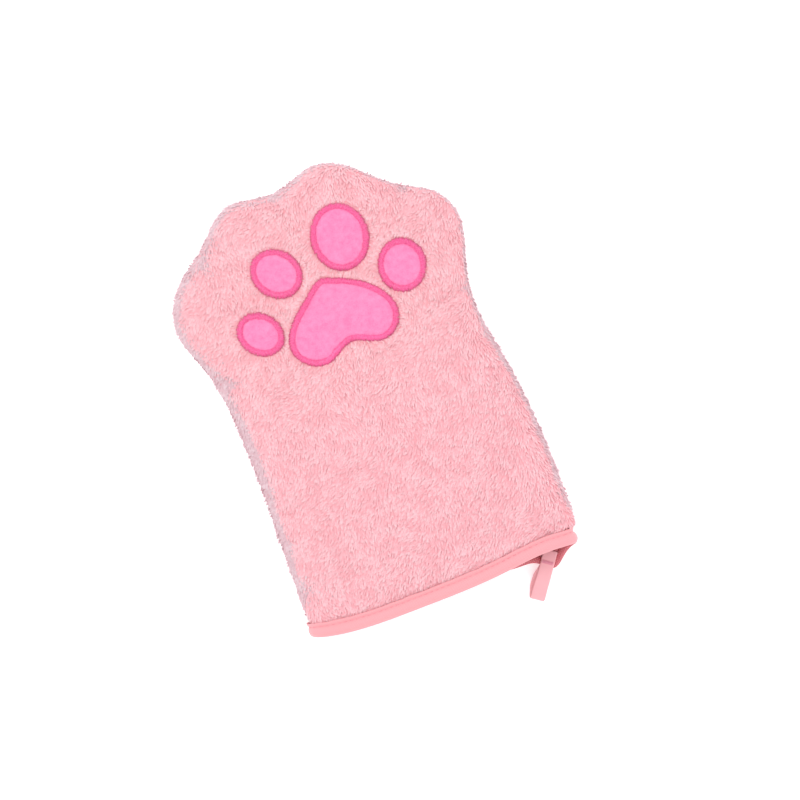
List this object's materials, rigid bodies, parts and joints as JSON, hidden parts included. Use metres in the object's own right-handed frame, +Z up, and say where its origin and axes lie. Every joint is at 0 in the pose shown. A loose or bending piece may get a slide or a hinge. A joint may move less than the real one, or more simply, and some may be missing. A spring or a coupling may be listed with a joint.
{
  "type": "paw-shaped pet grooming mitt",
  "caption": "Plush wash-and-dry mitt shaped like a cat's paw, with embroidered pads, a bound open mouth for the hand and a folded hanging loop.",
  "frame": {"origin": "on the surface the mitt lies on, under the middle of its back panel, halfway from hem to toes", "axes": "+Y from the hem towards the toes, +Z up out of the palm face with the paw motif, +X to the right seen from above"},
  "size_m": [0.1695, 0.2724, 0.022],
  "materials": {
    "plush_fleece": "long-pile pink plush fleece, ragged tufts, matt",
    "smooth_pile_patch": "short smooth velour patch, bright pink, soft sheen",
    "embroidery_thread": "rayon satin stitch, hot pink, glossy thread",
    "binding_tape": "folded polyester binding tape, pale pink, fine weave",
    "loop_tape": "woven polyester tape, pale pink",
    "sewing_thread": "spun polyester sewing thread, pale pink",
    "overlock_thread": "overlocked knit edge, salmon pink",
    "nonwoven_backing": "thin tear-away nonwoven, off-white"
  },
  "bodies": {
    "mitt": {"front_panel": "plush_fleece", "back_panel": "plush_fleece", "side_seam": "overlock_thread", "mouth_binding": "binding_tape", "binding_stitching": "sewing_thread", "palm_pad": "smooth_pile_patch", "palm_pad_border": "embroidery_thread", "toe_pad_outer_left": "smooth_pile_patch", "toe_pad_outer_left_border": "embroidery_thread", "toe_pad_inner_left": "smooth_pile_patch", "toe_pad_inner_left_border": "embroidery_thread", "toe_pad_inner_right": "smooth_pile_patch", "toe_pad_inner_right_border": "embroidery_thread", "toe_pad_outer_right": "smooth_pile_patch", "toe_pad_outer_right_border": "embroidery_thread", "embroidery_backing": "nonwoven_backing", "loop_tab": "loop_tape", "loop_bartack": "sewing_thread"},
    "hanging_loop": {"hanging_loop": "loop_tape"}
  },
  "joints": [
    {"name": "loop_swing", "type": "hinge", "parent": "mitt", "child": "hanging_loop", "pos_m": [0.0514, -0.132, 0.0057], "axis": [-0.7935, 0.6086, 0], "range_deg": [0, 100]}
  ]
}
